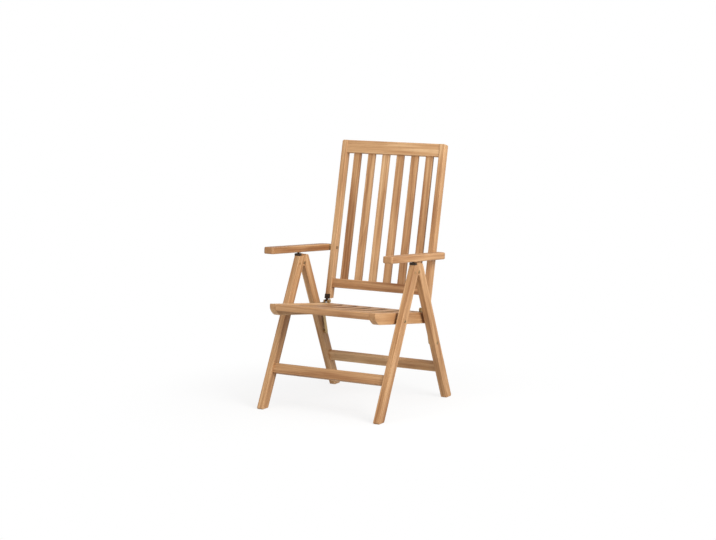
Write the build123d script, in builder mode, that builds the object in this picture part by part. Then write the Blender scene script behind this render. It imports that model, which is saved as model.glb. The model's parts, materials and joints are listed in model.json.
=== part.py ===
"""Folding, reclining slatted armchair in teak: legs, seat, back, arms and their steel fittings.

Millimetres, +Z up, the sitter faces -Y, left and right as seen from the front, so +X is right.
The side view is drawn in a plane of y and z whose y is measured from the leg pivot, and each piece is
pushed out from it along X.
"""
import os
from math import asin, atan2, cos, degrees, hypot, pi, radians, sin, tan

from build123d import *

# Driving sizes: the layers across the chair, from the outside in
half_width_legs = 287.0
leg_thickness = 27.0
side_gap = 12.5
rail_thickness = 30.0
stile_thickness = 25.0
arm_gap = 8.0
arm_width = 46.5

# Driving sizes: the two crossed legs
pivot_height = 568.5
front_lean = 26.7
rear_lean = 23.8
leg_width = 44.0
leg_parting = 0.75
front_leg_rise = 31.5
rear_leg_rise = 39.5
leg_top_clearance = 1.5
foot_radius = 6.0
lap_radius = 14.0
lap_clearance = 0.5
lap_gap = 0.3
stretcher_height = 42.0
stretcher_thickness = 22.0
front_stretcher_run = 472.5
rear_stretcher_run = 480.0

# Driving sizes: the seat
seat_reach = 171.3
seat_rise = 53.3
seat_slope = 7.63
seat_length = 466.0
seat_rail_height = 46.0
seat_nose_run = 34.0
seat_nose_rise = 21.0
seat_nose_radius = 32.0
cross_rail_height = 28.0
front_rail_depth = 45.0
rear_rail_depth = 40.0
rear_rail_inset = 6.0
slat_count = 6
seat_slat_width = 50.0
seat_slat_thickness = 15.0
seat_dish = 5.0
seat_pivot_run = 219.0

# Driving sizes: the back
back_lean = 12.9
foot_setback = 6.4
foot_rise = 8.5
back_length = 688.0
stile_depth = 33.0
top_rail_height = 54.5
top_rail_thickness = 27.0
bottom_rail_start = 51.0
bottom_rail_height = 39.0
bottom_rail_thickness = 22.0
back_slat_width = 34.0
back_slat_thickness = 14.0
back_slat_setback = 3.0
stile_top_radius = 8.0
back_slat_pitch = 69.5

# Driving sizes: the arms
arm_length = 473.0
arm_thickness = 28.0
arm_pivot_inset = 14.0
arm_pivot_up = 222.2
arm_pivot_depth = 12.0
arm_over_leg = 7.6
arm_front_radius = 10.0
arm_rear_radius = 28.0
arm_edge_radius = 5.0

# Driving sizes: fittings
bolt_radius = 4.0
bolt_head_radius = 7.0
bolt_head_height = 2.5
running_clearance = 0.08
seat_clearance = 0.3
washer_radius = 9.0
link_run = 358.0
link_top_inset = 33.9
link_top_drop = 19.2
link_width = 18.0
link_thickness = 3.0
link_stand_off = 2.0
hinge_inset = 34.4
hinge_rise = 9.5
knuckle_radius = 4.5
hinge_pin_radius = 2.5
hinge_head_radius = 8.0
hinge_head_height = 5.0
leaf_thickness = 2.5
leaf_length = 42.0
upper_leaf_height = 20.0
screw_radius = 2.0
screw_head_radius = 3.6
screw_head_height = 1.5
screw_length = 12.0
rack_screw_length = 8.0
peg_radius = 4.0
peg_y = -26.0
peg_sink = 2.0
bracket_plate = 5.0
bracket_base = 9.5
bracket_parting = 2.0
bracket_bolt_y = -33.2
bracket_bolt_drop = 31.2
rack_wall = 2.5
rack_width = 22.0
rack_depth = 12.5
rack_margin = 20.0
notch_flank = 22.0
notch_clearance = 0.5
notch_depth = 3.0
bush_radius = 7.0
bush_flange_radius = 11.0
recline_angle = 30.0
recline_steps = 4
edge_radius = 2.5
slat_edge_radius = 1.2
top_rail_edge_radius = 4.0

# Layers worked out from the sizes above
leg_out = half_width_legs
leg_in = leg_out - leg_thickness
leg_mid = (leg_out + leg_in) / 2
rail_out = leg_in - side_gap
rail_in = rail_out - rail_thickness
stile_out = rail_out
stile_in = stile_out - stile_thickness
arm_in = stile_out + arm_gap
arm_out = arm_in + arm_width


def front_edge(z, away):
    """y of a line along the front leg, so far in front of the leg pivot."""
    lean = radians(front_lean)
    return (z - pivot_height) * tan(lean) - away / cos(lean)


def rear_edge(z, away):
    """y of a line along the rear leg, so far behind the leg pivot."""
    lean = radians(rear_lean)
    return (pivot_height - z) * tan(lean) + away / cos(lean)


def turned(point, about, angle):
    """A side-view point turned about another, from y towards z."""
    y = point[0] - about[0]
    z = point[1] - about[1]
    c = cos(radians(angle))
    s = sin(radians(angle))
    return (about[0] + c * y - s * z, about[1] + s * y + c * z)


# Edges of the legs, and their tops
near_edge = leg_parting
far_edge = leg_parting + leg_width
middle_edge = leg_parting + leg_width / 2
front_leg_top = pivot_height + front_leg_rise
rear_leg_top = pivot_height + rear_leg_rise
leg_pivot = (0.0, pivot_height)
front_down = (-sin(radians(front_lean)), -cos(radians(front_lean)))
rear_down = (sin(radians(rear_lean)), -cos(radians(rear_lean)))


def on_front_leg(run):
    """A point on the front leg's middle line, so far down from the leg pivot."""
    z = pivot_height + front_down[1] * run + middle_edge * sin(radians(front_lean))
    return (front_edge(z, middle_edge), z)


def on_rear_leg(run):
    z = pivot_height + rear_down[1] * run + middle_edge * sin(radians(rear_lean))
    return (rear_edge(z, middle_edge), z)


# The seat hangs on the front legs
seat_pivot = on_front_leg(seat_pivot_run)
link_pivot = on_rear_leg(link_run)
seat_front_y = seat_pivot[0] - seat_reach
seat_front_z = seat_pivot[1] + seat_rise


def on_seat(run, rise):
    """A point so far back along the seat's top and so far above it."""
    c = cos(radians(seat_slope))
    s = sin(radians(seat_slope))
    return (seat_front_y + run * c + rise * s, seat_front_z - run * s + rise * c)


hinge_run = seat_length - hinge_inset
hinge_axis = on_seat(hinge_run, hinge_rise)
link_top = on_seat(seat_length - link_top_inset, -link_top_drop)

# The back stands on the hinge
lean_sin = sin(radians(back_lean))
lean_cos = cos(radians(back_lean))
back_foot_y = hinge_axis[0] + foot_setback
back_foot_z = hinge_axis[1] + foot_rise


def on_back(up, depth):
    """A point so far up the stile and so far behind its front face."""
    return (back_foot_y + up * lean_sin + depth * lean_cos, back_foot_z + up * lean_cos - depth * lean_sin)


# The arm lies from its pivot on the stile over the peg on the front leg
arm_pivot = on_back(arm_pivot_up, arm_pivot_depth)
peg = (peg_y, rear_leg_top + arm_over_leg + peg_sink)


def peg_angle(pivot):
    """Direction from the arm pivot to the peg."""
    return degrees(atan2(peg[1] - pivot[1], peg[0] - pivot[0])) % 360


def peg_reach(pivot):
    return hypot(peg[0] - pivot[0], peg[1] - pivot[1])


def arm_turn(pivot):
    """Direction of the arm, to the front, when it lies on the peg."""
    return peg_angle(pivot) - degrees(asin((arm_thickness / 2 - peg_sink) / peg_reach(pivot)))


half_turn = degrees(pi)
arm_slope = half_turn - arm_turn(arm_pivot)
arm_sin = sin(radians(arm_slope))
arm_cos = cos(radians(arm_slope))
arm_pivot_run = arm_length - arm_pivot_inset
arm_front_y = arm_pivot[0] - arm_pivot_run * arm_cos - arm_thickness / 2 * arm_sin
arm_front_z = arm_pivot[1] + arm_pivot_run * arm_sin - arm_thickness / 2 * arm_cos

# How far the arm itself tips while the back reclines, so that its last notch also meets the peg
arm_tip = arm_turn(arm_pivot) - arm_turn(turned(arm_pivot, hinge_axis, -recline_angle))
arm_share = arm_tip / recline_angle


def peg_on_arm(angle):
    """Where the peg stands along the arm and above its underside, when the back is reclined by an angle."""
    pivot = turned(arm_pivot, hinge_axis, -angle)
    y, z = turned(peg, pivot, arm_share * angle)
    y += arm_pivot[0] - pivot[0] - arm_front_y
    z += arm_pivot[1] - pivot[1] - arm_front_z
    return (y * arm_cos - z * arm_sin, y * arm_sin + z * arm_cos)


notches = [peg_on_arm(recline_angle * step / recline_steps) for step in range(recline_steps + 1)]
groove_start = min(run for run, rise in notches) - rack_margin
groove_end = max(run for run, rise in notches) + rack_margin
track_rise = max(rise for run, rise in notches)

# The side view is shifted so that the chair's box is centred on the origin
box_front = min(front_edge(0, far_edge), arm_front_y, seat_front_y)
back_rear = on_back(back_length, stile_depth)[0]
box_rear = max(rear_edge(0, far_edge), back_rear)
box_middle = (box_front + box_rear) / 2


def side_plane(x):
    """The side view, at a distance x across the chair."""
    return Plane(origin=(x, -box_middle, 0), x_dir=(0, 1, 0), z_dir=(1, 0, 0))


def sloped_plane(x, y, z, angle):
    """A side-view plane whose first direction is turned up from +Y by an angle."""
    direction = (0, cos(radians(angle)), sin(radians(angle)))
    return Plane(origin=(x, y - box_middle, z), x_dir=direction, z_dir=(1, 0, 0))


def seat_plane(x):
    return sloped_plane(x, seat_front_y, seat_front_z, -seat_slope)


def back_plane(x):
    """First direction up the stile, second direction towards the front."""
    return sloped_plane(x, back_foot_y, back_foot_z, 90 - back_lean)


def arm_plane(x):
    return sloped_plane(x, arm_front_y, arm_front_z, -arm_slope)


def save(part, name):
    part.label = name
    export_step(part, f"parts/{name}.step")


def save_pair(part, name):
    """A piece of the +X side and its mirror image."""
    save(part, f"{name}_right")
    with BuildPart() as other:
        mirror(part, about=Plane.YZ)
    save(other.part, f"{name}_left")


def save_both(part, name):
    """Small pieces of both sides as one group."""
    with BuildPart() as group:
        add(part)
        mirror(part, about=Plane.YZ)
    save(group.part, name)


def drill(plane, at, radius, depth):
    """A round hole in the piece that is being built."""
    with BuildSketch(plane) as hole:
        with Locations(at):
            Circle(radius)
    extrude(hole.sketch, amount=depth, mode=Mode.SUBTRACT)


def rod(plane, at, radius, length):
    """A round bar on the piece that is being built."""
    with BuildSketch(plane) as disc:
        with Locations(at):
            Circle(radius)
    extrude(disc.sketch, amount=length)


def screw(plane, length, hold):
    """A pan-head screw that goes down into a plane, through a thickness that it holds."""
    with BuildPart() as piece:
        rod(plane.offset(hold), (0, 0), screw_head_radius, screw_head_height)
        rod(plane.offset(-length), (0, 0), screw_radius, length + hold)
    return piece.part


def screw_hole(plane, length, hold):
    """Room for such a screw in the piece that is being built."""
    drill(plane.offset(-length), (0, 0), screw_radius + running_clearance, length + hold)


def face_plane(base, run, rise, across):
    """A plane on a sloped piece, square to its second direction."""
    origin = base.from_local_coords((run, rise, across))
    return Plane(origin=origin, x_dir=base.x_dir, z_dir=base.y_dir)


def slab(plane, start, end, low, high, width, soft=edge_radius):
    """A straight bar: its run and height in a plane, its width across the chair, and eased long edges."""
    with BuildPart() as bar:
        with BuildSketch(plane):
            with Locations(((start + end) / 2, (low + high) / 2)):
                Rectangle(end - start, high - low)
        extrude(amount=width)
        fillet(bar.edges().filter_by(Axis((0, 0, 0), plane.x_dir)), soft)
    return bar.part


def cross_slab(plane, start, end, low, high, width, soft=edge_radius):
    """A bar that runs across the chair, with eased edges along it."""
    with BuildPart() as bar:
        with BuildSketch(plane):
            with Locations(((start + end) / 2, (low + high) / 2)):
                Rectangle(end - start, high - low)
        extrude(amount=width)
        fillet(bar.edges().filter_by(Axis.X), soft)
    return bar.part


os.makedirs("parts", exist_ok=True)

# Where each arm bracket sits on the front leg, just ahead of the rear leg's lapped end
bracket_bolt_z = front_leg_top - bracket_bolt_drop
bracket_bolt = (bracket_bolt_y, bracket_bolt_z)
bracket_slot_x = leg_mid - bracket_plate / 2
base_front = front_edge(front_leg_top, far_edge)
base_rear = rear_edge(front_leg_top + bracket_base, near_edge) - bracket_parting
tang_half = 2 * screw_head_radius
tang_foot = [
    (bracket_bolt_y - tang_half, bracket_bolt_z - tang_half),
    (bracket_bolt_y + tang_half, bracket_bolt_z - tang_half),
]
tang_shoulder = [
    (base_rear, front_leg_top),
    (base_front + bracket_plate, front_leg_top),
]

# Front legs: a full bar below, half its thickness where it laps the rear leg
above_all = max(front_leg_top, rear_leg_top) + leg_width
with BuildPart() as front_leg:
    with BuildSketch(side_plane(leg_in)):
        with BuildLine():
            Polyline(
                (front_edge(0, far_edge), 0),
                (front_edge(0, near_edge), 0),
                (front_edge(front_leg_top, near_edge), front_leg_top),
                (front_edge(front_leg_top, far_edge), front_leg_top),
                close=True,
            )
        outline = make_face()
        fillet(outline.vertices().group_by(Axis.Y)[0], foot_radius)
    extrude(amount=leg_thickness)
    long_edges = front_leg.edges().filter_by(Axis((0, 0, 0), (0, -front_down[0], -front_down[1])))
    fillet(long_edges, edge_radius)
    with BuildSketch(side_plane(leg_in)):
        with Locations(leg_pivot):
            Circle(lap_radius)
    extrude(amount=leg_thickness / 2)
    with BuildSketch(side_plane(leg_mid - lap_gap / 2)):
        with BuildLine():
            Polyline(
                (rear_edge(pivot_height, near_edge - lap_clearance), pivot_height),
                (rear_edge(pivot_height, far_edge), pivot_height),
                (rear_edge(above_all, far_edge), above_all),
                (rear_edge(above_all, near_edge - lap_clearance), above_all),
                close=True,
            )
        make_face()
        with Locations(leg_pivot):
            Circle(lap_radius + lap_clearance)
    extrude(amount=leg_thickness, mode=Mode.SUBTRACT)
    drill(side_plane(leg_in), leg_pivot, bolt_radius + running_clearance, leg_thickness)
    drill(side_plane(leg_in), seat_pivot, bolt_radius + running_clearance, leg_thickness)
    drill(side_plane(leg_in), bracket_bolt, screw_radius + running_clearance, leg_thickness)
    with BuildSketch(side_plane(bracket_slot_x)):
        with BuildLine():
            Polyline(*tang_foot, *tang_shoulder, close=True)
        make_face()
    extrude(amount=bracket_plate, mode=Mode.SUBTRACT)
save_pair(front_leg.part, "front_leg")

# The rear leg's top corner is cut back along the underside of the fully reclined arm
cut_fall = tan(radians(arm_slope + arm_tip))
cut_height = peg[1] - peg_sink - leg_top_clearance + peg_y * cut_fall
cut_start_y = (cut_height - rear_leg_top) / cut_fall
cut_end_y = rear_edge(cut_height, far_edge) / (1 - cut_fall * tan(radians(rear_lean)))
cut_end_z = cut_height - cut_end_y * cut_fall

# Rear legs: the same bar the other way round, with the outer half kept at the lap
with BuildPart() as rear_leg:
    with BuildSketch(side_plane(leg_in)):
        with BuildLine():
            Polyline(
                (rear_edge(0, near_edge), 0),
                (rear_edge(0, far_edge), 0),
                (cut_end_y, cut_end_z),
                (cut_start_y, rear_leg_top),
                (rear_edge(rear_leg_top, near_edge), rear_leg_top),
                close=True,
            )
        outline = make_face()
        fillet(outline.vertices().group_by(Axis.Y)[0], foot_radius)
    extrude(amount=leg_thickness)
    long_edges = rear_leg.edges().filter_by(Axis((0, 0, 0), (0, -rear_down[0], -rear_down[1])))
    fillet(long_edges, edge_radius)
    with BuildSketch(side_plane(leg_mid)):
        with Locations(leg_pivot):
            Circle(lap_radius)
    extrude(amount=leg_thickness / 2)
    with BuildSketch(side_plane(leg_in)):
        with BuildLine():
            Polyline(
                (front_edge(pivot_height, near_edge - lap_clearance), pivot_height),
                (front_edge(pivot_height, far_edge), pivot_height),
                (front_edge(above_all, far_edge), above_all),
                (front_edge(above_all, near_edge - lap_clearance), above_all),
                close=True,
            )
        make_face()
        with Locations(leg_pivot):
            Circle(lap_radius + lap_clearance)
    extrude(amount=leg_thickness / 2 + lap_gap / 2, mode=Mode.SUBTRACT)
    drill(side_plane(leg_in), leg_pivot, bolt_radius + running_clearance, leg_thickness)
    drill(side_plane(leg_in), link_pivot, bolt_radius + running_clearance, leg_thickness)
save_pair(rear_leg.part, "rear_leg")


# Stretchers between the legs, turned with them
def stretcher(middle, angle):
    plane = sloped_plane(-leg_in, middle[0], middle[1], angle)
    half_height = stretcher_height / 2
    half_depth = stretcher_thickness / 2
    return cross_slab(plane, -half_height, half_height, -half_depth, half_depth, 2 * leg_in)


save(stretcher(on_front_leg(front_stretcher_run), 90 - front_lean), "front_stretcher")
save(stretcher(on_rear_leg(rear_stretcher_run), 90 + rear_lean), "rear_stretcher")


# Bolts along X with a low domed head outside and a washer and nut inside
def pivot_bolt(at, x_from, x_to, nut=True):
    with BuildPart() as bolt:
        rod(side_plane(x_from), at, bolt_radius, x_to - x_from)
        rod(side_plane(x_to), at, bolt_head_radius, bolt_head_height)
        fillet(bolt.faces().sort_by(Axis.X)[-1].edges(), bolt_head_height * 0.6)
        if nut:
            with BuildSketch(side_plane(x_from)):
                with Locations(at):
                    RegularPolygon(bolt_head_radius, 6)
            extrude(amount=-bolt_head_height)
    return bolt.part


def sleeve(at, x_from, x_to, outer, inner):
    with BuildPart() as ring:
        rod(side_plane(x_from), at, outer, x_to - x_from)
        drill(side_plane(x_from), at, inner, x_to - x_from)
    return ring.part


bore = bolt_radius + running_clearance
save_both(pivot_bolt(leg_pivot, leg_in, leg_out), "leg_pivot_bolts")
save_both(pivot_bolt(seat_pivot, rail_in, leg_out), "seat_pivot_bolts")
save_both(sleeve(seat_pivot, rail_out + seat_clearance, leg_in, washer_radius, bore), "seat_pivot_spacers")

# The steel brackets on the front legs that carry the arms on a cross peg
with BuildPart() as bracket:
    with BuildSketch(side_plane(bracket_slot_x)):
        with BuildLine():
            Polyline(
                *tang_foot,
                tang_shoulder[0],
                (peg_y + peg_radius, peg[1]),
                (peg_y - peg_radius, peg[1]),
                tang_shoulder[1],
                close=True,
            )
        make_face()
    extrude(amount=bracket_plate)
    with BuildSketch(side_plane(leg_in + lap_clearance)):
        with Locations(((base_front + base_rear) / 2, front_leg_top + bracket_base / 2)):
            Rectangle(base_rear - base_front, bracket_base)
    extrude(amount=leg_thickness - 2 * lap_clearance)
    peg_half = rack_width / 2
    rod(side_plane(leg_mid - peg_half), peg, peg_radius, 2 * peg_half)
    drill(side_plane(bracket_slot_x), bracket_bolt, screw_radius + running_clearance, bracket_plate)
save_pair(bracket.part, "arm_bracket")

with BuildPart() as bracket_pin:
    rod(side_plane(leg_in), bracket_bolt, screw_radius, leg_thickness)
    rod(side_plane(leg_out), bracket_bolt, screw_head_radius, bolt_head_height / 2)
    rod(side_plane(leg_in - bolt_head_height / 2), bracket_bolt, screw_head_radius, bolt_head_height / 2)
save_both(bracket_pin.part, "bracket_rivets")

# Link straps from the rear legs up to the seat rails
link_x = rail_out + link_stand_off
link_outer = link_x + link_thickness
save_both(pivot_bolt(link_pivot, link_x, leg_out, nut=False), "link_bolts")
save_both(sleeve(link_pivot, link_outer + seat_clearance, leg_in, washer_radius, bore), "link_spacers")
link_angle = degrees(atan2(link_top[1] - link_pivot[1], link_top[0] - link_pivot[0]))
link_length = hypot(link_top[0] - link_pivot[0], link_top[1] - link_pivot[1])
with BuildPart() as link:
    with BuildSketch(sloped_plane(link_x, link_pivot[0], link_pivot[1], link_angle)):
        with Locations((link_length / 2, 0)):
            SlotCenterToCenter(link_length, link_width)
    extrude(amount=link_thickness)
    drill(side_plane(link_x), link_pivot, bore, link_thickness)
    drill(side_plane(link_x), link_top, bore, link_thickness)
save_pair(link.part, "link_strap")
with BuildPart() as link_stud:
    rod(side_plane(rail_out + seat_clearance), link_top, bolt_radius, link_outer - rail_out - seat_clearance)
    rod(side_plane(link_outer), link_top, bolt_head_radius, bolt_head_height)
save_pair(link_stud.part, "link_stud")

# Hinge place on the seat, and the screws of the leaves
stile_mid = (stile_in + stile_out) / 2
leaf_start = hinge_run + knuckle_radius - leaf_length
lower_screws = [
    face_plane(seat_plane(stile_mid), leaf_start + place * leaf_length, 0, 0) for place in (0.2, 0.55)
]
upper_screws = [
    face_plane(back_plane(stile_mid), 0.6 * upper_leaf_height, 0, side * stile_thickness / 4) for side in (-1, 1)
]

# Seat side rails, with the lower front corner swept up to a rounded nose
with BuildPart() as seat_rail:
    with BuildSketch(seat_plane(rail_in)):
        with BuildLine():
            Polyline(
                (0, 0),
                (seat_length, 0),
                (seat_length, -seat_rail_height),
                (seat_nose_run, -seat_rail_height),
                (0, seat_nose_rise - seat_rail_height),
                close=True,
            )
        make_face()
    extrude(amount=rail_thickness)
    nose = seat_rail.edges().filter_by(Axis.X).sort_by(Axis.Y)[:3].sort_by(Axis.Z)[:2]
    fillet(nose, seat_nose_radius)
    top_edges = seat_rail.edges().filter_by(Axis((0, 0, 0), seat_plane(0).x_dir))
    fillet(top_edges, edge_radius)
    drill(side_plane(rail_in), seat_pivot, bore, rail_thickness)
    for place in lower_screws:
        screw_hole(place, screw_length, 0)
save_pair(seat_rail.part, "seat_rail")

# Seat cross rails and slats
rear_rail_end = seat_length - rear_rail_inset
rear_rail_start = rear_rail_end - rear_rail_depth
across = seat_plane(-rail_in)
save(cross_slab(across, 0, front_rail_depth, -cross_rail_height, 0, 2 * rail_in, 2 * edge_radius), "seat_front_rail")
save(cross_slab(across, rear_rail_start, rear_rail_end, -cross_rail_height, 0, 2 * rail_in), "seat_rear_rail")
seat_slat_gap = (2 * rail_in - slat_count * seat_slat_width) / (slat_count + 1)
for number in range(slat_count):
    left = -rail_in + seat_slat_gap + number * (seat_slat_width + seat_slat_gap)
    low = -seat_slat_thickness
    middle = (front_rail_depth + rear_rail_start) / 2
    with BuildPart() as slat:
        with BuildSketch(seat_plane(left)):
            with BuildLine():
                ThreePointArc((front_rail_depth, 0), (middle, -seat_dish), (rear_rail_start, 0))
                Line((rear_rail_start, 0), (rear_rail_start, low))
                ThreePointArc((rear_rail_start, low), (middle, low - seat_dish), (front_rail_depth, low))
                Line((front_rail_depth, low), (front_rail_depth, 0))
            make_face()
        extrude(amount=seat_slat_width)
        fillet(slat.edges().filter_by(GeomType.CIRCLE), slat_edge_radius)
    save(slat.part, f"seat_slat_{number + 1}")

# Back frame: stiles with a level foot, rails between them and slats between the rails
with BuildPart() as stile:
    with BuildSketch(back_plane(stile_in)):
        with BuildLine():
            Polyline(
                (0, 0),
                (back_length, 0),
                (back_length, -stile_depth),
                (stile_depth * tan(radians(back_lean)), -stile_depth),
                close=True,
            )
        make_face()
    extrude(amount=stile_thickness)
    top_edges = stile.edges().filter_by(Axis((0, 0, 0), back_plane(0).y_dir)).group_by(Axis.Z)[-1]
    fillet(top_edges.sort_by(Axis.X)[-1], stile_top_radius)
    fillet(stile.edges().filter_by(Axis((0, 0, 0), back_plane(0).x_dir)), edge_radius)
    drill(side_plane(stile_in), arm_pivot, bore, stile_thickness)
    for place in upper_screws:
        screw_hole(place, screw_length, 0)
save_pair(stile.part, "back_stile")
back_middle = -stile_depth / 2


def back_rail(start, height, thickness, soft):
    plane = back_plane(-stile_in)
    front = back_middle + thickness / 2
    return cross_slab(plane, start, start + height, front - thickness, front, 2 * stile_in, soft)


top_rail_start = back_length - top_rail_height
top_rail = back_rail(top_rail_start, top_rail_height, top_rail_thickness, top_rail_edge_radius)
bottom_rail = back_rail(bottom_rail_start, bottom_rail_height, bottom_rail_thickness, edge_radius)
save(top_rail, "back_top_rail")
save(bottom_rail, "back_bottom_rail")
slat_low = bottom_rail_start + bottom_rail_height
for number in range(slat_count):
    left = (number - (slat_count - 1) / 2) * back_slat_pitch - back_slat_width / 2
    front = back_middle + back_slat_thickness / 2 - back_slat_setback
    slat = slab(back_plane(left), slat_low, top_rail_start, front - back_slat_thickness, front, back_slat_width)
    save(slat, f"back_slat_{number + 1}")

# Hinges: a lower leaf on each seat rail, an upper leaf on each stile and a loose pin
knuckle_end = stile_thickness / 4
knuckle_gap = seat_clearance
pin_bore = hinge_pin_radius + running_clearance
with BuildPart() as lower_leaf:
    with BuildSketch(seat_plane(stile_in)):
        with Locations((leaf_start + leaf_length / 2, leaf_thickness / 2)):
            Rectangle(leaf_length, leaf_thickness)
    extrude(amount=stile_thickness)
    for x in (stile_in, stile_out - knuckle_end):
        with BuildSketch(seat_plane(x)):
            with Locations((hinge_run, hinge_rise)):
                Circle(knuckle_radius)
            with Locations((hinge_run, hinge_rise / 2)):
                Rectangle(2 * knuckle_radius, hinge_rise)
        extrude(amount=knuckle_end)
    drill(side_plane(stile_in), hinge_axis, pin_bore, stile_thickness)
    for place in lower_screws:
        screw_hole(place, screw_length, leaf_thickness)
save_pair(lower_leaf.part, "hinge_leaf_lower")

knuckle_width = stile_thickness - 2 * (knuckle_end + knuckle_gap)
with BuildPart() as upper_leaf:
    with BuildSketch(back_plane(stile_in)):
        with Locations((upper_leaf_height / 2, leaf_thickness / 2)):
            Rectangle(upper_leaf_height, leaf_thickness)
    extrude(amount=stile_thickness)
    middle_x = stile_in + knuckle_end + knuckle_gap
    with BuildSketch(side_plane(middle_x)):
        with Locations(hinge_axis):
            Circle(knuckle_radius)
        with BuildLine():
            Polyline(
                (hinge_axis[0] - knuckle_radius, hinge_axis[1]),
                (hinge_axis[0] + knuckle_radius, hinge_axis[1]),
                (back_foot_y, back_foot_z),
                (back_foot_y - lean_cos * leaf_thickness, back_foot_z + lean_sin * leaf_thickness),
                close=True,
            )
        make_face()
    extrude(amount=knuckle_width)
    drill(side_plane(stile_in), hinge_axis, pin_bore, stile_thickness)
    for place in upper_screws:
        screw_hole(place, screw_length, leaf_thickness)
save_pair(upper_leaf.part, "hinge_leaf_upper")


def screw_group(places, length, hold):
    with BuildPart() as group:
        for place in places:
            add(screw(place, length, hold))
    return group.part


save_both(screw_group(lower_screws, screw_length, leaf_thickness), "hinge_screws_lower")
save_both(screw_group(upper_screws, screw_length, leaf_thickness), "hinge_screws_upper")

head_in = stile_in - seat_clearance
with BuildPart() as hinge_pin:
    rod(side_plane(head_in), hinge_axis, hinge_pin_radius, stile_out - head_in)
    rod(side_plane(head_in - hinge_head_height), hinge_axis, hinge_head_radius, hinge_head_height)
save_both(hinge_pin.part, "hinge_pins")

# Arms: a grooved board with rounded corners
groove_width = rack_width + 2 * lap_clearance
groove_in = leg_mid - groove_width / 2
bush_bore = bush_radius + running_clearance
bush_end = arm_out - arm_width / 4
rack_top = face_plane(arm_plane(leg_mid), 0, rack_depth, 0)
rack_screws = [
    Plane(origin=rack_top.from_local_coords((run, 0, 0)), x_dir=rack_top.x_dir, z_dir=-rack_top.z_dir)
    for run in (groove_start + rack_margin / 2, groove_end - rack_margin / 2)
]
with BuildPart() as arm:
    with BuildSketch(arm_plane(arm_in)):
        with Locations((arm_length / 2, arm_thickness / 2)):
            Rectangle(arm_length, arm_thickness)
    extrude(amount=arm_width)
    uprights = arm.edges().filter_by(Axis((0, 0, 0), arm_plane(0).y_dir))
    front_uprights = uprights.sort_by(Axis.Y)[:2]
    rear_outer = uprights.sort_by(Axis.Y)[2:].sort_by(Axis.X)[-1]
    fillet(front_uprights, arm_front_radius)
    fillet(rear_outer, arm_rear_radius)
    fillet(arm.faces().sort_by(Axis.Z)[-1].edges(), arm_edge_radius)
    fillet(arm.faces().sort_by(Axis.Z)[0].edges(), arm_edge_radius / 2)
    with BuildSketch(arm_plane(groove_in)):
        with Locations(((groove_start + groove_end) / 2, rack_depth / 2)):
            Rectangle(groove_end - groove_start, rack_depth)
    extrude(amount=groove_width, mode=Mode.SUBTRACT)
    drill(side_plane(arm_in), arm_pivot, bush_bore, bush_end - arm_in)
    for place in rack_screws:
        screw_hole(place, rack_screw_length, 0)
save_pair(arm.part, "armrest")

# Notched steel channels in the grooves: the peg runs clear under the teeth, and each notch drops over it
tooth_rise = track_rise + peg_radius + notch_clearance
rack_middle = (groove_start + groove_end) / 2
with BuildPart() as rack:
    with BuildSketch(arm_plane(leg_mid - rack_width / 2)):
        with Locations((rack_middle, (tooth_rise + rack_depth) / 2)):
            Rectangle(groove_end - groove_start, rack_depth - tooth_rise)
    extrude(amount=rack_width)
    with BuildSketch(arm_plane(leg_mid - rack_width / 2 + rack_wall)):
        with Locations((rack_middle, (rack_depth - rack_wall) / 2)):
            Rectangle(groove_end - groove_start, rack_depth - rack_wall)
    extrude(amount=rack_width - 2 * rack_wall, mode=Mode.SUBTRACT)
    notch_radius = peg_radius + notch_clearance
    mouth = notch_radius + notch_depth * tan(radians(notch_flank))
    with BuildSketch(arm_plane(leg_mid - rack_width / 2)):
        for run, rise in notches:
            with Locations((run, rise + notch_depth)):
                Circle(notch_radius)
            with BuildLine():
                Polyline(
                    (run - notch_radius, rise + notch_depth),
                    (run + notch_radius, rise + notch_depth),
                    (run + mouth, 0),
                    (run - mouth, 0),
                    close=True,
                )
            make_face()
    extrude(amount=rack_width, mode=Mode.SUBTRACT)
    for place in rack_screws:
        screw_hole(place, 0, rack_wall)
save_pair(rack.part, "arm_rack")
save_pair(screw_group(rack_screws, rack_screw_length, rack_wall), "rack_screws")

# Arm pivots: a bolt through the stile and a flanged bush in the arm
bolt_end = bush_end - seat_clearance
with BuildPart() as arm_bolt:
    rod(side_plane(stile_in), arm_pivot, bolt_radius, bolt_end - stile_in)
    rod(side_plane(stile_in - bolt_head_height), arm_pivot, bolt_head_radius, bolt_head_height)
save_pair(arm_bolt.part, "arm_pivot_bolt")
with BuildPart() as bush:
    rod(side_plane(stile_out + seat_clearance), arm_pivot, bush_flange_radius, arm_gap - 2 * seat_clearance)
    rod(side_plane(arm_in - seat_clearance), arm_pivot, bush_radius, bush_end - arm_in)
    drill(side_plane(stile_out), arm_pivot, bore, bush_end - stile_out)
save_pair(bush.part, "arm_pivot_bush")
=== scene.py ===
# %% [markdown]
# A folding, reclining armchair in slatted teak, dressed for its portrait.
# The shapes come from the CAD part: every board, bolt and fitting is already there, in metres, in one frame.
# This script gives each board its own run of grain, gives the fittings their metals, adds the small
# work that CAD leaves plain (domed bolts with sockets), and sets up a white studio.

import json
import math

import bmesh
import bpy
from mathutils import Matrix, Vector


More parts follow.
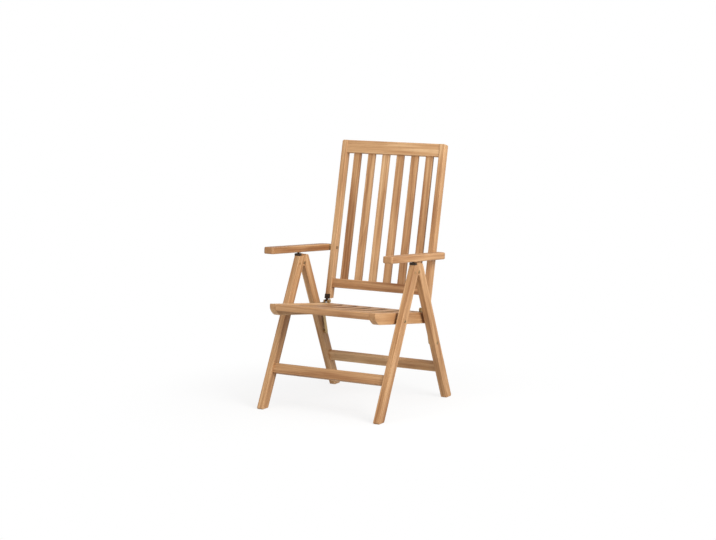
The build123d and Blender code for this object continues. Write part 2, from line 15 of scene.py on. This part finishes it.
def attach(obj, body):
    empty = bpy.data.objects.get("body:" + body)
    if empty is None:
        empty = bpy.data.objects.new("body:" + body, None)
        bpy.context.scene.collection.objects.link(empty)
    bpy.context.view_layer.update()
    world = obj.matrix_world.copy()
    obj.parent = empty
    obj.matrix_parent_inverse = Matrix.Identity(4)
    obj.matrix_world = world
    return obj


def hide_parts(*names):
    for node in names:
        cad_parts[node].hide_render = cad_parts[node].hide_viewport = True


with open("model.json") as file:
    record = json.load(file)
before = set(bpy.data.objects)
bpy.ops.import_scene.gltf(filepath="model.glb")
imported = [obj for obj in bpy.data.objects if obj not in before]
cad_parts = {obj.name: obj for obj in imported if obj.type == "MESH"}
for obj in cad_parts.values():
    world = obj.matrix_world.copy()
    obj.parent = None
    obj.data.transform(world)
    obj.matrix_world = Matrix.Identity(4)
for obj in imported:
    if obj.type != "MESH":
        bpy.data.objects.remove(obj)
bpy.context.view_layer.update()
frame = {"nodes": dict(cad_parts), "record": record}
nodes = frame["nodes"]

# %% [markdown]
# Wood is only convincing when the grain runs along each board. A board's long direction could be guessed
# from its box, but the legs, arms and back lean, so their boxes don't say. The table below names the lean of
# each family of boards in the side view, and the cross pieces run along X.

# %% Which way each board runs
UPRIGHT = 90.0
LEG_FRONT = math.radians(UPRIGHT - 26.7)
LEG_REAR = math.radians(UPRIGHT + 23.8)
SEAT = math.radians(-7.63)
BACK = math.radians(UPRIGHT - 12.9)
ARM = math.radians(-4.6)
side_boards = {
    "front_leg": LEG_FRONT,
    "rear_leg": LEG_REAR,
    "seat_rail": SEAT,
    "seat_slat": SEAT,
    "back_stile": BACK,
    "back_slat": BACK,
    "armrest": ARM,
}
cross_boards = (
    "front_stretcher",
    "rear_stretcher",
    "seat_front_rail",
    "seat_rear_rail",
    "back_top_rail",
    "back_bottom_rail",
)


def board_turn(node):
    """Euler turn that lays a board's length along Y, or None where the node isn't a board."""
    if node in cross_boards:
        return (0.0, 0.0, math.radians(90))
    for family, lean in side_boards.items():
        if node.startswith(family):
            return (-lean, 0.0, 0.0)
    return None


boards = {name: board_turn(name) for name in sorted(nodes) if board_turn(name)}
print("boards:", len(boards))

# %% [markdown]
# A node tree written in code is a chain of small steps. Each helper below adds one kind of node, links what
# it takes, and gives back the socket that comes out, so that a texture reads like a formula.


# %% Small helpers for node trees
def add_node(tree, kind, **values):
    """A node with its settings and unlinked inputs filled in."""
    node = tree.nodes.new(kind)
    for name, value in values.items():
        if name in node.inputs:
            node.inputs[name].default_value = value
        else:
            setattr(node, name, value)
    return node


def maths(tree, operation, first, second=None, clamp=False):
    """A Math node whose inputs are sockets or plain numbers."""
    node = add_node(tree, "ShaderNodeMath", operation=operation, use_clamp=clamp)
    for socket, value in zip(node.inputs, (first, second)):
        if value is None:
            continue
        if isinstance(value, (int, float)):
            socket.default_value = value
        else:
            tree.links.new(value, socket)
    return node.outputs[0]


def above(tree, value, start, gain):
    """How far a value is above a start, times a gain, between 0 and 1."""
    return maths(tree, "MULTIPLY", maths(tree, "SUBTRACT", value, start), gain, clamp=True)


def stretched(tree, vector, scale):
    """The same coordinates, scaled along each axis."""
    node = add_node(tree, "ShaderNodeVectorMath", operation="MULTIPLY")
    tree.links.new(vector, node.inputs[0])
    node.inputs[1].default_value = scale
    return node.outputs[0]


def noise(tree, vector, scale, detail, rough=0.5):
    """Plain noise with this many waves per metre."""
    node = add_node(tree, "ShaderNodeTexNoise", Scale=scale, Detail=detail, Roughness=rough)
    tree.links.new(vector, node.inputs["Vector"])
    return node.outputs["Fac"]


def long_noise(tree, vector, across, along, detail, rough=0.5):
    """Noise with its own number of waves per metre across the board and along it."""
    return noise(tree, stretched(tree, vector, (across, along, across)), 1.0, detail, rough)


def ramp(tree, value, stops):
    """A colour ramp with (place, colour) stops."""
    node = tree.nodes.new("ShaderNodeValToRGB")
    elements = node.color_ramp.elements
    while len(elements) < len(stops):
        elements.new(1.0)
    for element, (place, colour) in zip(elements, stops):
        element.position = place
        element.color = (*colour, 1.0)
    tree.links.new(value, node.inputs["Fac"])
    return node.outputs["Color"]


def mixed(tree, factor, first, second):
    """Two colours mixed by a factor; each colour is a socket or a plain colour."""
    node = add_node(tree, "ShaderNodeMix", data_type="RGBA")
    tree.links.new(factor, node.inputs["Factor"])
    for socket, value in ((node.inputs[6], first), (node.inputs[7], second)):
        if isinstance(value, tuple):
            socket.default_value = (*value, 1.0)
        else:
            tree.links.new(value, socket)
    return node.outputs[2]


def new_group(name, takes, gives):
    """An empty shader group with named sockets: (name, kind, default) in, (name, kind) out."""
    group = bpy.data.node_groups.new(name, "ShaderNodeTree")
    for label, kind, default in takes:
        socket = group.interface.new_socket(label, in_out="INPUT", socket_type=kind)
        if default is not None:
            socket.default_value = default
    for label, kind in gives:
        group.interface.new_socket(label, in_out="OUTPUT", socket_type=kind)
    return group, group.nodes.new("NodeGroupInput"), group.nodes.new("NodeGroupOutput")


print("helpers ready")

# %% [markdown]
# The grain is one node group that every board shares. Teak shows several things at once: growth rings a few
# millimetres apart that wander along the board, long fibres, streaks and fine lines, short dark pores that
# follow the fibres, and a slow drift of colour. Each is a texture stretched along Y.

# %% The teak grain group: rings, fibres and pores
LOOK = [("Color", "NodeSocketColor"), ("Roughness", "NodeSocketFloat"), ("Height", "NodeSocketFloat")]
SWAY_WAVES = (9.0, 2.4, 9.0)
SWAY_REACH = 0.030
LATE_WOOD_POWER = 2.2
PORE_FROM = 0.62
PORE_GAIN = 5.5
teak_grain, grain_in, grain_out = new_group(
    "teak_grain",
    [
        ("Board", "NodeSocketVector", None),
        ("Facing", "NodeSocketVector", None),
        ("Tone", "NodeSocketFloat", 0.5),
        ("Painted Gap Shade", "NodeSocketFloat", 0.0),
        ("Ring Width", "NodeSocketFloat", 0.004),
    ],
    LOOK,
)
tree = teak_grain
board = grain_in.outputs["Board"]

# Rings wander: a slow noise pushes the coordinates sideways before the ring distance is taken
sway = add_node(tree, "ShaderNodeTexNoise", Scale=1.0, Detail=1.5)
tree.links.new(stretched(tree, board, SWAY_WAVES), sway.inputs["Vector"])
sway_shift = add_node(tree, "ShaderNodeVectorMath", operation="MULTIPLY_ADD")
tree.links.new(sway.outputs["Color"], sway_shift.inputs[0])
sway_shift.inputs[1].default_value = (SWAY_REACH, 0.0, SWAY_REACH)
tree.links.new(board, sway_shift.inputs[2])
swayed = tree.nodes.new("ShaderNodeSeparateXYZ")
tree.links.new(sway_shift.outputs[0], swayed.inputs[0])
sideways = maths(tree, "MULTIPLY", swayed.outputs["X"], swayed.outputs["X"])
upwards = maths(tree, "MULTIPLY", swayed.outputs["Z"], swayed.outputs["Z"])
radius = maths(tree, "SQRT", maths(tree, "ADD", sideways, upwards))
ring_saw = maths(tree, "FRACT", maths(tree, "DIVIDE", radius, grain_in.outputs["Ring Width"]))
late_wood = maths(tree, "POWER", ring_saw, LATE_WOOD_POWER)

# The rest follows the length
fibre = long_noise(tree, board, 420.0, 7.0, 3.0, 0.6)
pore_mask = above(tree, long_noise(tree, board, 1150.0, 46.0, 1.0), PORE_FROM, PORE_GAIN)
drift = long_noise(tree, board, 11.0, 3.6, 2.0)
streak = long_noise(tree, board, 58.0, 2.0, 3.0, 0.55)
line = long_noise(tree, board, 150.0, 3.4, 2.0)
print("nodes for rings, fibres and pores:", len(tree.nodes))

# %% [markdown]
# The textures push the colour to both sides of the board's own tone, from straw over honey to umber. Each row
# of the table is a texture, its middle value and how far it pushes.

# %% From textures to colour
STRAW = (0.76, 0.50, 0.27)
HONEY = (0.53, 0.29, 0.132)
UMBER = (0.29, 0.125, 0.045)
# Dark brown of the pores, used again as the painted shade on the flanks of the slats
PORE_AND_GAP_SHADE = (0.15, 0.065, 0.026)
PORE_SHARE = 0.55
pushes = (
    (late_wood, 0.31, 0.22),
    (fibre, 0.5, 0.42),
    (drift, 0.5, 0.85),
    (streak, 0.5, 1.5),
    (line, 0.5, 0.75),
)
brown = grain_in.outputs["Tone"]
for texture, middle, share in pushes:
    push = maths(tree, "MULTIPLY", maths(tree, "SUBTRACT", texture, middle), share)
    brown = maths(tree, "ADD", brown, push)
wood = ramp(tree, brown, [(0.0, STRAW), (0.50, HONEY), (1.0, UMBER)])
wood = mixed(tree, maths(tree, "MULTIPLY", pore_mask, PORE_SHARE), wood, PORE_AND_GAP_SHADE)
print("textures in the colour:", len(pushes))

# %% [markdown]
# How the surface faces tells the rest. Where it faces along the board it is end grain, which drinks more oil
# and turns darker. The flanks of the slats get painted shade, as falls in the narrow gaps between them. Where
# it faces none of the three ways squarely it is an eased edge, lighter by rubbed wear and a painted
# highlight.

# %% End grain, painted shade on the flanks, and edges with wear and painted highlight
END_FROM = 0.80
END_GAIN = 6.0
END_SHARE = 0.72
END_WAVES = 950.0
# Painted shade on the slat flanks: from how squarely a face looks sideways, and how fast it darkens
GAP_SHADE_FROM = 0.45
GAP_SHADE_GAIN = 4.0
# Eased edges are lightened: partly rubbed wear, partly a painted highlight
EDGE_FROM = 0.97
EDGE_WEAR_AND_HIGHLIGHT_GAIN = 0.8
facing = tree.nodes.new("ShaderNodeSeparateXYZ")
tree.links.new(grain_in.outputs["Facing"], facing.inputs[0])
faces = {axis: maths(tree, "ABSOLUTE", facing.outputs[axis]) for axis in ("X", "Y", "Z")}

end_mask = above(tree, faces["Y"], END_FROM, END_GAIN)
speckled = maths(tree, "MULTIPLY", noise(tree, board, END_WAVES, 2.0), 0.5)
ringed = maths(tree, "MULTIPLY", late_wood, 0.35)
end_wood = mixed(tree, maths(tree, "ADD", speckled, ringed), HONEY, UMBER)
wood = mixed(tree, maths(tree, "MULTIPLY", end_mask, END_SHARE), wood, end_wood)

# Painted shade: the sides of the slats darken toward the pore brown, as falls in the gaps between them
painted_gap_shade = above(tree, faces["X"], GAP_SHADE_FROM, GAP_SHADE_GAIN)
wood = mixed(tree, maths(tree, "MULTIPLY", painted_gap_shade, grain_in.outputs["Painted Gap Shade"]), wood, PORE_AND_GAP_SHADE)

# Lighter eased edges, toward straw: rubbed wear and a painted highlight where rounded edges catch light
squareness = maths(tree, "MAXIMUM", maths(tree, "MAXIMUM", faces["X"], faces["Z"]), faces["Y"])
eased_wear_and_highlight = maths(tree, "SUBTRACT", EDGE_FROM, squareness, clamp=True)
wood = mixed(tree, maths(tree, "MULTIPLY", eased_wear_and_highlight, EDGE_WEAR_AND_HIGHLIGHT_GAIN, clamp=True), wood, STRAW)
tree.links.new(wood, grain_out.inputs["Color"])
print("nodes up to the colour:", len(tree.nodes))

# %% [markdown]
# Roughness and relief come from the same textures. Fibres stand up a little, pores and late wood lie lower,
# and end grain is the roughest.

# %% Roughness and relief of the grain
rough = maths(tree, "ADD", maths(tree, "MULTIPLY", fibre, 0.22), 0.42)
rough = maths(tree, "ADD", rough, maths(tree, "MULTIPLY", end_mask, 0.16))
tree.links.new(rough, grain_out.inputs["Roughness"])
height = maths(tree, "MULTIPLY", fibre, 0.55)
height = maths(tree, "SUBTRACT", height, maths(tree, "MULTIPLY", pore_mask, 0.9))
height = maths(tree, "SUBTRACT", height, maths(tree, "MULTIPLY", late_wood, 0.18))
tree.links.new(height, grain_out.inputs["Height"])
print("teak_grain nodes:", len(teak_grain.nodes))

# %% [markdown]
# Wood and metal end in the same kind of surface: a group gives colour, roughness and height, the height
# becomes a slight bump, and a Principled shader puts them together.


# %% A surface from a group
def empty_material(name):
    """A material with an empty node tree."""
    material = bpy.data.materials.new(name)
    material.use_nodes = True
    material.node_tree.nodes.clear()
    return material


def surface(tree, look, bump, metallic, specular):
    """Shows what a group's node gives; the bump is its strength and its height in metres."""
    strength, distance = bump
    relief = add_node(tree, "ShaderNodeBump", Strength=strength, Distance=distance)
    tree.links.new(look.outputs["Height"], relief.inputs["Height"])
    shader = add_node(tree, "ShaderNodeBsdfPrincipled", Metallic=metallic)
    shader.inputs["Specular IOR Level"].default_value = specular
    tree.links.new(look.outputs["Color"], shader.inputs["Base Color"])
    tree.links.new(look.outputs["Roughness"], shader.inputs["Roughness"])
    tree.links.new(relief.outputs["Normal"], shader.inputs["Normal"])
    out = tree.nodes.new("ShaderNodeOutputMaterial")
    tree.links.new(shader.outputs["BSDF"], out.inputs["Surface"])


def dress(node, material):
    """The node shows this one material."""
    mesh = nodes[node].data
    mesh.materials.clear()
    mesh.materials.append(material)


print("surfaces ready")

# %% [markdown]
# Each board now gets its own material: the same group, turned until the board's length lies along Y, shifted
# to its own place in the log, and a shade lighter or darker than its neighbour, as boards from several planks
# are in one chair. The listed tones are partly plank colour and partly painted light and shade, set board by
# board to how bright each one looks. The place in the log matters most: a board near the pith shows wide
# arches, one far from it straight lines.

# %% Give every board its teak
GOLDEN = 0.618034
LOG_MIDDLE = (0.085, 0.0, 0.33)
LOG_SPREAD = (0.05, 1.9, 0.28)
LOG_DRAWS = (3, 11, 7)
RING_WIDTH = 0.0042
RING_SPREAD = 0.0012
RING_DRAW = 5
TEAK_BUMP = (0.22, 0.0006)
TEAK_SPECULAR = 0.32
PLAIN_SHADE = 0.50
SHADE_SPREAD = 0.06
# Tone of each listed board: plank colour with painted light and shade mixed in, such as the rear stretcher
# made lighter where it stands in shade
board_tones_and_painted_light = {
    "armrest_left": 0.92, "armrest_right": 0.66, "back_bottom_rail": 0.78, "back_top_rail": 0.46,
    "back_slat_1": 0.80, "back_slat_2": 0.52, "back_slat_3": 0.44, "back_slat_4": 0.59, "back_slat_5": 0.80,
    "back_slat_6": 0.70, "back_stile_left": 0.50, "back_stile_right": 0.66, "front_leg_left": 0.58,
    "front_leg_right": 0.55, "rear_leg_left": 0.48, "rear_leg_right": 0.56, "seat_front_rail": 0.60,
    "front_stretcher": 0.62, "rear_stretcher": 0.34, "seat_rail_left": 0.30, "seat_rail_right": 0.55,
}
# How strong the painted gap shade is on the flanks of each kind of slat
painted_gap_shades = {"seat_slat": 0.92, "back_slat": 0.35}


def shuffle(index, spread):
    """An even, repeatable scatter between -spread and +spread."""
    return ((index * GOLDEN) % 1.0 * 2.0 - 1.0) * spread


def teak_material(name, turn, index):
    """Teak for one board, turned by its lean and drawn from its own place in the log."""
    material = empty_material("teak_" + name)
    tree = material.node_tree
    place = tree.nodes.new("ShaderNodeTexCoord")
    lay = add_node(tree, "ShaderNodeMapping", vector_type="POINT", Rotation=turn)
    lay.inputs["Location"].default_value = [
        middle + shuffle(index + draw, spread)
        for middle, spread, draw in zip(LOG_MIDDLE, LOG_SPREAD, LOG_DRAWS)
    ]
    tree.links.new(place.outputs["Object"], lay.inputs["Vector"])
    face = add_node(tree, "ShaderNodeMapping", vector_type="NORMAL", Rotation=turn)
    tree.links.new(place.outputs["Normal"], face.inputs["Vector"])
    grain = add_node(tree, "ShaderNodeGroup", node_tree=teak_grain)
    tree.links.new(lay.outputs["Vector"], grain.inputs["Board"])
    tree.links.new(face.outputs["Vector"], grain.inputs["Facing"])
    grain.inputs["Tone"].default_value = board_tones_and_painted_light.get(name, PLAIN_SHADE + shuffle(index, SHADE_SPREAD))
    grain.inputs["Painted Gap Shade"].default_value = painted_gap_shades.get(name.rpartition("_")[0], 0.0)
    grain.inputs["Ring Width"].default_value = RING_WIDTH + shuffle(index + RING_DRAW, RING_SPREAD)
    surface(tree, grain, TEAK_BUMP, 0.0, TEAK_SPECULAR)
    return material


for index, (name, turn) in enumerate(boards.items()):
    dress(name, teak_material(name, turn, index))
print("teak boards dressed:", len(boards))

# %% [markdown]
# The fittings are three metals. The upper hinge leaves and the arm brackets are steel painted black, a little
# chipped and dusty; their black is partly painted shade, standing for the shadow under the arms and at the
# hinges.
# The straps, bolts, bushes and hinge pins are brass that has gone dull, and the racks and screws are brushed
# steel. All share one wear group: fine brushed lines, a cloudy film, and small specks.

# %% The metal wear group
SPECK_FROM = 0.63
SPECK_GAIN = 5.0
metal_wear, wear_in, wear_out = new_group(
    "metal_wear",
    [
        ("Place", "NodeSocketVector", None),
        ("Clean", "NodeSocketColor", None),
        ("Dull", "NodeSocketColor", None),
        ("Film", "NodeSocketFloat", 0.5),
        ("Polish", "NodeSocketFloat", 0.35),
    ],
    LOOK,
)
tree = metal_wear
spot = wear_in.outputs["Place"]
cloud = noise(tree, spot, 130.0, 4.0, 0.6)
lines = long_noise(tree, spot, 1800.0, 90.0, 2.0)
speck = above(tree, noise(tree, spot, 900.0, 1.0), SPECK_FROM, SPECK_GAIN)
spotted = maths(tree, "ADD", cloud, maths(tree, "MULTIPLY", speck, 0.6))
film = maths(tree, "MULTIPLY", spotted, wear_in.outputs["Film"], clamp=True)
worn = mixed(tree, film, wear_in.outputs["Clean"], wear_in.outputs["Dull"])
tree.links.new(worn, wear_out.inputs["Color"])
brushed = maths(tree, "MULTIPLY", maths(tree, "SUBTRACT", lines, 0.5), 0.2)
metal_rough = maths(tree, "ADD", wear_in.outputs["Polish"], maths(tree, "MULTIPLY", film, 0.25))
tree.links.new(maths(tree, "ADD", metal_rough, brushed, clamp=True), wear_out.inputs["Roughness"])
ridges = maths(tree, "MULTIPLY", lines, 0.5)
dents = maths(tree, "MULTIPLY", cloud, 0.4)
tree.links.new(maths(tree, "ADD", ridges, dents), wear_out.inputs["Height"])
print("metal_wear nodes:", len(metal_wear.nodes))

# %% [markdown]
# Each metal is a clean colour, a dull colour for its film, how thick the film lies and how rough it is below.
# Screws that hold the hinges have gone dark and the arm bolts brown, so these have shades of their own.

# %% The metals
METAL_BUMP = (0.15, 0.0003)


def metal_material(name, clean, dull, film, polish, metallic=1.0, specular=0.5):
    """One metal, or paint over it, with its wear."""
    material = empty_material(name)
    tree = material.node_tree
    place = tree.nodes.new("ShaderNodeTexCoord")
    wear = add_node(tree, "ShaderNodeGroup", node_tree=metal_wear)
    tree.links.new(place.outputs["Object"], wear.inputs["Place"])
    wear.inputs["Clean"].default_value = (*clean, 1.0)
    wear.inputs["Dull"].default_value = (*dull, 1.0)
    wear.inputs["Film"].default_value = film
    wear.inputs["Polish"].default_value = polish
    surface(tree, wear, METAL_BUMP, metallic, specular)
    return material


metals = {
    # Near-black: black paint, and partly painted shade for the shadow under the arms and at the hinges
    "black_steel": metal_material(
        "black_steel", (0.026, 0.015, 0.009), (0.065, 0.040, 0.024), 0.7, 0.48, metallic=0.0, specular=0.2
    ),
    "brass": metal_material("brass", (0.60, 0.42, 0.20), (0.26, 0.165, 0.075), 1.1, 0.30),
    "steel": metal_material("steel", (0.55, 0.55, 0.54), (0.30, 0.29, 0.28), 0.8, 0.28),
}
dark_screws = metal_material("dark_screws", (0.09, 0.075, 0.06), (0.05, 0.035, 0.025), 1.0, 0.5)
aged_bolts = metal_material("aged_bolts", (0.42, 0.28, 0.15), (0.24, 0.14, 0.07), 1.0, 0.5)
own_shades = {
    "hinge_screws_lower": dark_screws,
    "hinge_screws_upper": dark_screws,
    "arm_pivot_bolt_left": aged_bolts,
    "arm_pivot_bolt_right": aged_bolts,
}
slot_of = {row["node"]: row["material_slot"] for row in frame["record"]["subparts"]}
fittings = [name for name, slot in slot_of.items() if slot in metals]
for name in fittings:
    dress(name, own_shades.get(name, metals[slot_of[name]]))
print("fittings dressed:", len(fittings))

# %% [markdown]
# The pivot bolts go through both legs, or through a leg and the seat: a low domed head with a hexagon socket
# outside, a plain shank, and a hexagon nut inside. Each is a stack of rings about its own axis, round for
# head and shank and six-cornered for nut and socket, bridged from one ring to the next. The CAD bolt gives
# the place and the length, so the new one fills the same hole.

# %% Bolts with sockets
HEAD_HEIGHT = 0.0025
HEAD_RADIUS = 0.0070
SHANK_RADIUS = 0.0040
SOCKET_RADIUS = 0.0029
SOCKET_DEPTH = 0.0018
SOCKET_LIP = 0.00005
SOCKET_DRAFT = 0.96
NUT_CHAMFER = 0.0005
NUT_END = 0.90
ROUND = 40
HEXAGON = 6
CREASE = math.radians(32)
DOME = ((0.0, 1.0), (0.30, 1.0), (0.66, 0.93), (0.88, 0.80), (0.98, 0.64), (1.0, 0.50))
old_brass = metal_material("old_brass", (0.50, 0.34, 0.17), (0.22, 0.14, 0.07), 1.2, 0.38)


def bolt_rings(inner, outer, side, nut):
    """(x, radius, corners) from the nut's far end, along the shank, over the dome and into the socket."""
    shoulder = outer - side * HEAD_HEIGHT
    rings = [(inner, SHANK_RADIUS, ROUND)]
    if nut:
        seat = inner + side * HEAD_HEIGHT
        rings = [
            (inner, NUT_END * HEAD_RADIUS, HEXAGON),
            (inner + side * NUT_CHAMFER, HEAD_RADIUS, HEXAGON),
            (seat, HEAD_RADIUS, HEXAGON),
            (seat, SHANK_RADIUS, ROUND),
        ]
    rings.append((shoulder, SHANK_RADIUS, ROUND))
    for rise, share in DOME:
        rings.append((shoulder + side * rise * HEAD_HEIGHT, share * HEAD_RADIUS, ROUND))
    rings.append((outer - side * SOCKET_LIP, SOCKET_RADIUS, HEXAGON))
    rings.append((outer - side * SOCKET_DEPTH, SOCKET_DRAFT * SOCKET_RADIUS, HEXAGON))
    return rings


def stack_rings(mesh, y, z, rings):
    """One closed skin from rings about a line along X."""
    loops = []
    for x, radius, corners in rings:
        turn = Matrix.Translation((x, y, z)) @ Matrix.Rotation(math.pi / 2, 4, "Y")
        made = bmesh.ops.create_circle(mesh, segments=corners, radius=radius, matrix=turn)
        loops.append(list({edge for vert in made["verts"] for edge in vert.link_edges}))
    for near, far in zip(loops, loops[1:]):
        bmesh.ops.bridge_loops(mesh, edges=near + far)
    bmesh.ops.edgeloop_fill(mesh, edges=loops[0])
    bmesh.ops.edgeloop_fill(mesh, edges=loops[-1])


def socket_bolts(node, nut):
    """Both bolts of a CAD node, made again with a socket."""
    corners = [vert.co for vert in nodes[node].data.vertices]
    mesh = bmesh.new()
    for side in (-1, 1):
        own = [co for co in corners if co.x * side > 0]
        reach = [co.x * side for co in own]
        y = (min(co.y for co in own) + max(co.y for co in own)) / 2
        z = (min(co.z for co in own) + max(co.z for co in own)) / 2
        stack_rings(mesh, y, z, bolt_rings(side * min(reach), side * max(reach), side, nut))
    bmesh.ops.recalc_face_normals(mesh, faces=mesh.faces)
    data = bpy.data.meshes.new(node + "_socketed")
    mesh.to_mesh(data)
    mesh.free()
    for polygon in data.polygons:
        polygon.use_smooth = True
    data.set_sharp_from_angle(angle=CREASE)
    data.materials.append(old_brass)
    piece = bpy.data.objects.new(node + "_socketed", data)
    bpy.context.scene.collection.objects.link(piece)
    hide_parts(node)
    return piece


for node, nut, body in (
    ("leg_pivot_bolts", True, "front_frame"),
    ("seat_pivot_bolts", True, "front_frame"),
    ("link_bolts", False, "rear_frame"),
):
    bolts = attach(socket_bolts(node, nut), body)
    print(bolts.name, "triangles:", sum(len(face.vertices) - 2 for face in bolts.data.polygons))

# %% [markdown]
# The studio is a white sheet. The floor keeps a soft shadow under the feet, but seen straight by the camera
# it is mostly its own white, so the chair stands on a clean page. Light Path tells both: for rays that look,
# straight or by way of metal or glass, floor and sky are white, and for light that only falls they are not.


# %% White floor and sky
WHITE = (1.0, 1.0, 1.0, 1.0)
FLOOR_HALF = 30.0
FLOOR_SEEN = (0.97, 0.97, 0.97)
FLOOR_BOUNCE = (0.50, 0.50, 0.50)
NEAR_WHITE = 0.80
NEAR = 0.35
FAR = 1.1
FILL_COLOUR = (1.0, 0.99, 0.975, 1.0)
FILL_STRENGTH = 0.42


def looking(tree):
    """1 for rays that look, straight or by way of metal or glass, and 0 for others."""
    rays = tree.nodes.new("ShaderNodeLightPath")
    looks = maths(tree, "ADD", rays.outputs["Is Camera Ray"], rays.outputs["Is Glossy Ray"], clamp=True)
    return maths(tree, "ADD", looks, rays.outputs["Is Transmission Ray"], clamp=True)


def mixed_shader(tree, factor, first, second):
    """Two shaders mixed by a factor."""
    mix = tree.nodes.new("ShaderNodeMixShader")
    tree.links.new(factor, mix.inputs["Fac"])
    tree.links.new(first.outputs[0], mix.inputs[1])
    tree.links.new(second.outputs[0], mix.inputs[2])
    return mix.outputs[0]


floor_mesh = bmesh.new()
bmesh.ops.create_grid(floor_mesh, x_segments=1, y_segments=1, size=FLOOR_HALF)
floor_data = bpy.data.meshes.new("floor")
floor_mesh.to_mesh(floor_data)
floor_mesh.free()
floor = bpy.data.objects.new("floor", floor_data)
bpy.context.scene.collection.objects.link(floor)

# The floor is paper that turns to plain white with the distance from the chair
paper = empty_material("white_paper")
floor_data.materials.append(paper)
tree = paper.node_tree
sheet = tree.nodes.new("ShaderNodeBsdfDiffuse")
seen = tree.nodes.new("ShaderNodeLightPath").outputs["Is Camera Ray"]
tree.links.new(mixed(tree, seen, FLOOR_BOUNCE, FLOOR_SEEN), sheet.inputs["Color"])
centre = tree.nodes.new("ShaderNodeTexCoord")
away = add_node(tree, "ShaderNodeVectorMath", operation="LENGTH")
tree.links.new(centre.outputs["Object"], away.inputs[0])
fade = add_node(tree, "ShaderNodeMapRange", interpolation_type="SMOOTHSTEP")
tree.links.new(away.outputs["Value"], fade.inputs["Value"])
for label, value in (("From Min", NEAR), ("From Max", FAR), ("To Min", NEAR_WHITE), ("To Max", 1.0)):
    fade.inputs[label].default_value = value
glow = add_node(tree, "ShaderNodeEmission", Color=WHITE, Strength=1.0)
whiteness = maths(tree, "MULTIPLY", looking(tree), fade.outputs["Result"])
paper_out = tree.nodes.new("ShaderNodeOutputMaterial")
tree.links.new(mixed_shader(tree, whiteness, sheet, glow), paper_out.inputs["Surface"])

world = bpy.data.worlds.new("studio")
bpy.context.scene.world = world
world.use_nodes = True
tree = world.node_tree
tree.nodes.clear()
fill = add_node(tree, "ShaderNodeBackground", Color=FILL_COLOUR, Strength=FILL_STRENGTH)
white_sky = add_node(tree, "ShaderNodeBackground", Color=WHITE, Strength=1.0)
world_out = tree.nodes.new("ShaderNodeOutputWorld")
tree.links.new(mixed_shader(tree, looking(tree), fill, white_sky), world_out.inputs["Surface"])
print("floor and sky ready")

# %% [markdown]
# Three soft boxes light the chair: the key from the right, a weaker one from the front that opens the shade
# under the seat, and a faint one overhead for the upper sides of the arms and the seat.


# %% Lamps
def soft_box(name, place, target, size, power):
    """A square area lamp that faces a point."""
    lamp = bpy.data.lights.new(name, "AREA")
    lamp.shape = "SQUARE"
    lamp.size = size
    lamp.energy = power
    holder = bpy.data.objects.new(name, lamp)
    holder.location = place
    holder.rotation_euler = (Vector(target) - Vector(place)).to_track_quat("-Z", "Y").to_euler()
    bpy.context.scene.collection.objects.link(holder)
    return holder


lamps = [
    soft_box("key", place=(2.9, -1.0, 2.0), target=(0.0, 0.0, 0.55), size=2.0, power=110.0),
    soft_box("front", place=(-0.9, -5.0, 0.75), target=(0.0, 0.3, 0.35), size=1.6, power=54.0),
    soft_box("top", place=(0.0, -0.1, 3.4), target=(0.0, -0.1, 0.5), size=1.8, power=20.0),
]
print("lamps:", len(lamps))

# %% [markdown]
# The camera stands where the photograph was taken from: a long lens, nearly eight metres off, a little above
# the arms. Place, turn and lens were worked out beforehand from the chair's own corners.

# %% Camera
LENS = 93.62
SENSOR_WIDTH = 36.0
CAMERA_PLACE = (3.806, -6.606, 1.675)
CAMERA_TILT = math.radians(81.6525)
CAMERA_PAN = math.radians(29.933)
camera_data = bpy.data.cameras.new("camera")
camera_data.sensor_fit = "HORIZONTAL"
camera_data.sensor_width = SENSOR_WIDTH
camera_data.lens = LENS
camera = bpy.data.objects.new("camera", camera_data)
camera.location = CAMERA_PLACE
camera.rotation_euler = (CAMERA_TILT, 0.0, CAMERA_PAN)
bpy.context.scene.collection.objects.link(camera)
bpy.context.scene.camera = camera
bpy.context.scene.view_settings.view_transform = "Standard"
print("camera ready")
